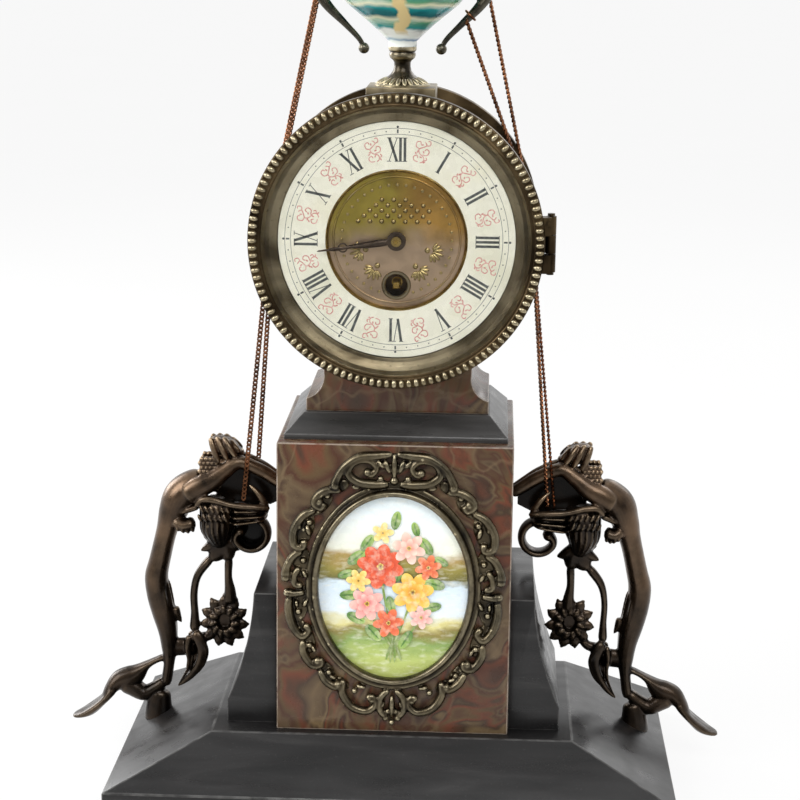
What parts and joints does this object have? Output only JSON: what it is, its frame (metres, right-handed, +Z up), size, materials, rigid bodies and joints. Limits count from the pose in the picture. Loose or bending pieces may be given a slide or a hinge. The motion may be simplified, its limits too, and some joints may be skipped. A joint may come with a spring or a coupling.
{
  "type": "mantel clock",
  "caption": "Slate and marble mantel clock: drum movement behind a hinged beaded bezel, painted oval plaque, cast bracket figures, hanging chains and a porcelain urn on top.",
  "frame": {"origin": "middle of the base's underside, on the surface that the clock stands on", "axes": "+Z up, +X to the right of someone who reads the dial, +Y to the back"},
  "size_m": [0.325, 0.154, 0.4563],
  "materials": {
    "slate": "honed, streaked",
    "marble": "polished, veined",
    "iron": "plain",
    "bronzed_casting": "dark bronzed",
    "aged_brass": "aged satin",
    "bright_brass": "satin",
    "steel": "satin",
    "blackened_steel": "dark",
    "ivory_enamel": "satin",
    "clear_glass": "polished",
    "painted_enamel": "glossy",
    "glazed_porcelain": "glossy",
    "copper_chain": "aged"
  },
  "bodies": {
    "case": {"base_plinth": "slate", "left_wing": "slate", "right_wing": "slate", "marble_pier": "marble", "upper_plinth": "slate", "drum_block": "marble", "tie_rod": "iron", "tie_nuts": "iron", "left_figure": "bronzed_casting", "right_figure": "bronzed_casting", "figure_screws": "steel", "plaque_frame": "aged_brass", "painted_plaque": "painted_enamel", "drum_case": "aged_brass", "back_cover": "aged_brass", "case_hinge_leaf": "aged_brass", "hinge_pin": "aged_brass", "dial_plate": "aged_brass", "dial_screws": "steel", "chapter_ring": "ivory_enamel", "dial_centre": "aged_brass", "centre_ring": "bright_brass", "winding_grommet": "bright_brass", "front_plate": "bright_brass", "back_plate": "bright_brass", "plate_pillars": "bright_brass", "pillar_screws": "steel", "back_cock": "bright_brass", "click_spring": "steel", "urn_foot": "aged_brass", "urn_body": "glazed_porcelain", "urn_neck_mount": "aged_brass", "urn_cover": "aged_brass", "left_handle": "aged_brass", "right_handle": "aged_brass", "left_chain": "copper_chain", "right_chain": "copper_chain", "chain_rings": "aged_brass"},
    "bezel_door": {"bezel_ring": "aged_brass", "bezel_glass": "clear_glass", "bezel_slip": "aged_brass", "bezel_hinge_leaf": "aged_brass"},
    "minute_work": {"centre_arbor": "bright_brass", "cannon_pinion": "bright_brass", "minute_hand": "blackened_steel", "hand_nut": "bright_brass"},
    "hour_work": {"hour_wheel": "bright_brass", "hour_hand": "blackened_steel"},
    "minute_wheel": {"minute_wheel": "bright_brass"},
    "barrel": {"mainspring_barrel": "bright_brass", "barrel_cap": "bright_brass", "mainspring": "steel"},
    "winder": {"winding_arbor": "steel", "ratchet_wheel": "steel"},
    "click": {"click": "steel"},
    "third_wheel": {"third_wheel": "bright_brass"},
    "escape_wheel": {"escape_wheel": "bright_brass"},
    "anchor": {"anchor": "steel"},
    "pendulum": {"pendulum_rod": "steel", "pendulum_bob": "bright_brass"}
  },
  "joints": [
    {"name": "bezel_swing", "type": "hinge", "parent": "case", "child": "bezel_door", "pos_m": [0.0676, -0.05965, 0.267], "axis": [0, 0, 1], "range_deg": [0, 110]},
    {"name": "minute_turn", "type": "hinge", "parent": "case", "child": "minute_work", "pos_m": [0, -0.02, 0.267], "axis": [0, 1, 0], "continuous": true},
    {"name": "hour_turn", "type": "hinge", "parent": "case", "child": "hour_work", "pos_m": [0, -0.02, 0.267], "axis": [0, 1, 0], "continuous": true},
    {"name": "minute_wheel_turn", "type": "hinge", "parent": "case", "child": "minute_wheel", "pos_m": [0.01039, -0.02, 0.273], "axis": [0, 1, 0], "continuous": true},
    {"name": "barrel_turn", "type": "hinge", "parent": "case", "child": "barrel", "pos_m": [0, -0.02, 0.24675], "axis": [0, 1, 0], "continuous": true},
    {"name": "third_wheel_turn", "type": "hinge", "parent": "case", "child": "third_wheel", "pos_m": [-0.01351, -0.02, 0.28051], "axis": [0, 1, 0], "continuous": true},
    {"name": "escape_wheel_turn", "type": "hinge", "parent": "case", "child": "escape_wheel", "pos_m": [0, -0.02, 0.28977], "axis": [0, 1, 0], "continuous": true},
    {"name": "winding_turn", "type": "hinge", "parent": "case", "child": "winder", "pos_m": [0, -0.02, 0.24675], "axis": [0, 1, 0], "range_deg": [0, 1350]},
    {"name": "click_lift", "type": "hinge", "parent": "case", "child": "click", "pos_m": [-0.013, -0.02, 0.25075], "axis": [0, 1, 0], "range_deg": [0, 12], "stiffness_Nm_per_rad": 0.00005, "springref_deg": -5.73},
    {"name": "pendulum_swing", "type": "hinge", "parent": "case", "child": "pendulum", "pos_m": [0, -0.02, 0.30377], "axis": [0, 1, 0], "range_deg": [-4, 4]},
    {"name": "anchor_rock", "type": "hinge", "parent": "case", "child": "anchor", "pos_m": [0, -0.02, 0.30377], "axis": [0, 1, 0], "range_deg": [-4, 4]}
  ],
  "couplings": [
    {"joint": "hour_turn", "follows": "minute_turn", "ratio": 0.083333},
    {"joint": "minute_wheel_turn", "follows": "minute_turn", "ratio": -0.33333},
    {"joint": "barrel_turn", "follows": "minute_turn", "ratio": -0.125},
    {"joint": "third_wheel_turn", "follows": "minute_turn", "ratio": -12},
    {"joint": "escape_wheel_turn", "follows": "minute_turn", "ratio": 144},
    {"joint": "anchor_rock", "follows": "pendulum_swing", "ratio": 1}
  ]
}
